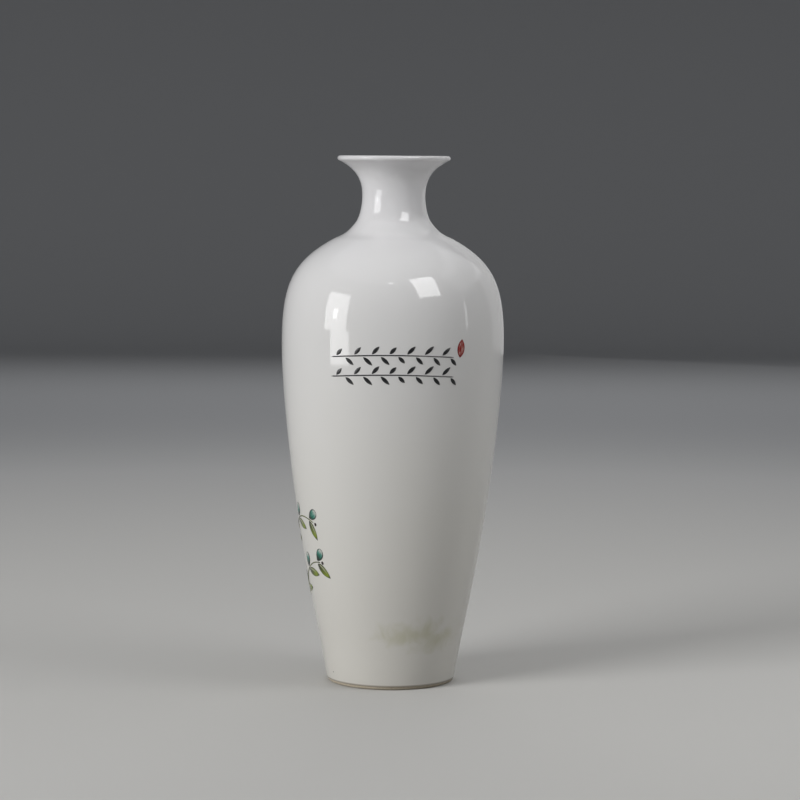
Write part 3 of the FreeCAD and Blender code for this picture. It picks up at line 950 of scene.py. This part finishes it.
# The blanks that the strokes were copied from aren't pieces of the vase
for blank in (teal_blank, olive_blank, stem_blank, bud_blank, twig_blank, twig_leaf_blank, red_blank):
    bpy.data.objects.remove(blank)


# Floor and light
# A pale floor that sweeps up all round into a grey wall, with a painted pool of light round the
# vase, and soft studio lamps. Some lamps light the vase, and others are there only to be seen in its gloss.

floor_radius = 2.4
sweep_radius = 0.6
wall_height = 3.2
floor_edge = flat_point(floor_radius, 0)
wall_foot = flat_point(floor_radius + sweep_radius, sweep_radius)
wall_top = flat_point(floor_radius + sweep_radius, wall_height)
backdrop_profile = [
    (stretch(flat_point(0, 0), 0, floor_edge, 0), 24),
    (stretch(floor_edge, 0, wall_foot, 90), 16),
    (stretch(wall_foot, 90, wall_top, 90), 4),
]
backdrop = turned("studio_sweep", backdrop_profile, steps=96)
bpy.ops.object.mode_set(mode="EDIT")
bpy.ops.mesh.select_all(action="SELECT")
bpy.ops.mesh.flip_normals()
bpy.ops.object.mode_set(mode="OBJECT")

# Matt painted paper with a painted pool of light on it: pale round the vase and greyer away from it.
# The camera and the gloss see it paler than it lights the vase
paper, tree, shader = start_material("studio_sweep_with_painted_light_pool")
light_pool_start, light_pool_end = 0.10, 1.6
place = add_node(tree, "ShaderNodeTexCoord").outputs["Object"]
distance = add_node(tree, "ShaderNodeVectorMath", {0: place}, operation="LENGTH")
light_pool_fade = add_node(tree, "ShaderNodeMapRange",
                {"Value": distance.outputs["Value"], "From Min": light_pool_start, "From Max": light_pool_end},
                interpolation_type="SMOOTHERSTEP")
paper_and_light_pool_colour = add_node(tree, "ShaderNodeValToRGB", {"Fac": light_pool_fade.outputs["Result"]})
set_ramp(paper_and_light_pool_colour, [(0.0, "#999896"), (1.0, "#8E8F91")])
seen_paper_and_light_pool_colour = add_node(tree, "ShaderNodeValToRGB", {"Fac": light_pool_fade.outputs["Result"]})
set_ramp(seen_paper_and_light_pool_colour, [(0.0, "#C9C8C5"), (0.6, "#B0B0B0"), (1.0, "#8E8F91")])
rays = add_node(tree, "ShaderNodeLightPath").outputs
direct_rays = add_node(tree, "ShaderNodeMath", {0: rays["Is Camera Ray"], 1: rays["Is Glossy Ray"]},
                       operation="MAXIMUM")
seen_rays = add_node(tree, "ShaderNodeMath",
                     {0: direct_rays.outputs["Value"], 1: rays["Is Transmission Ray"]}, operation="MAXIMUM")
tree.links.new(mixed(tree, seen_rays.outputs["Value"], paper_and_light_pool_colour.outputs["Color"],
                     seen_paper_and_light_pool_colour.outputs["Color"]), shader.inputs["Base Color"])
shader.inputs["Roughness"].default_value = 0.9
shader.inputs["Specular IOR Level"].default_value = 0.1
dress(backdrop, paper)


middle_height, shoulder_height, neck_height = 0.14, 0.19, 0.24


def softbox(name, azimuth, elevation, distance, width, height, watts,
            aim_height=shoulder_height, glossy=True, diffuse=True):
    """A rectangular lamp round the vase, in degrees and metres: azimuth from the front, positive to
    the right. glossy and diffuse say whether it shows as a highlight and whether it gives light."""
    turn, rise = math.radians(azimuth), math.radians(elevation)
    way = Vector((math.sin(turn) * math.cos(rise), -math.cos(turn) * math.cos(rise), math.sin(rise)))
    lamp = bpy.data.objects.new(name, bpy.data.lights.new(name, "AREA"))
    bpy.context.scene.collection.objects.link(lamp)
    lamp.data.shape = "RECTANGLE"
    lamp.data.size = width
    lamp.data.size_y = height
    lamp.data.energy = watts
    lamp.location = Vector((0, 0, aim_height)) + way * distance
    lamp.rotation_euler = (-way).to_track_quat("-Z", "Y").to_euler()
    lamp.visible_camera = False
    lamp.visible_glossy = glossy
    lamp.visible_diffuse = diffuse


# Lamps that light the vase
softbox("key_window", -52, 24, 2.0, 0.9, 0.9, 25.3, aim_height=middle_height, glossy=False)
softbox("upper_right", 68, 28, 0.6, 0.3, 0.3, 0.92, aim_height=neck_height, glossy=False)
softbox("right_panel", 112, 40, 1.8, 1.9, 1.0, 3.4)
softbox("back_fill", 180, 24, 2.0, 1.4, 1.0, 7, aim_height=middle_height, glossy=False)

# Lamps that only show in the gloss, as the highlights in the photograph: on the left a stepped
# strip with a bright core, on the right a square and two faint streaks, and one point on top
softbox("left_strip", -60.5, 12.9, 1.0, 0.45, 0.44, 3.08, diffuse=False)
softbox("left_strip_foot", -55, -4.3, 1.0, 0.367, 0.165, 0.89, diffuse=False)
softbox("left_core", -61, 8.8, 1.0, 0.08, 0.11, 0.19, diffuse=False)
softbox("right_square", 42, 39.2, 2.0, 0.84, 0.98, 17, diffuse=False)
softbox("right_gap", 82, 8, 2.0, 0.09, 0.5, 0.34, diffuse=False)
softbox("right_wall", 150, 12, 2.0, 2.0, 1.3, 2.8, diffuse=False)
softbox("bare_bulb", -3, 46, 2.0, 0.08, 0.08, 0.45, diffuse=False)

world = bpy.data.worlds.new("studio_air")
bpy.context.scene.world = world
world.use_nodes = True
air = world.node_tree.nodes["Background"]
air.inputs["Color"].default_value = linear("#F2F3F5")
air.inputs["Strength"].default_value = 0.45


# Camera
# A long lens level with the lip, looking slightly down on the vase, as the photograph is taken.
# Its place and angles are fitted to the outline in the photograph.

camera_distance = 1.380
camera_height = 0.260
pitch, yaw, roll = 4.987, 0.158, 0.413
camera = bpy.data.objects.new("camera", bpy.data.cameras.new("camera"))
bpy.context.scene.collection.objects.link(camera)
camera.data.lens = 126.0
camera.data.sensor_width = 36.0
camera.data.clip_end = 20
camera.matrix_world = (
    Matrix.Translation((0, -camera_distance, camera_height))
    @ Matrix.Rotation(math.radians(-yaw), 4, "Z")
    @ Matrix.Rotation(math.radians(90 - pitch), 4, "X")
    @ Matrix.Rotation(math.radians(roll), 4, "Z")
)
bpy.context.scene.camera = camera
bpy.context.scene.view_settings.view_transform = "Standard"
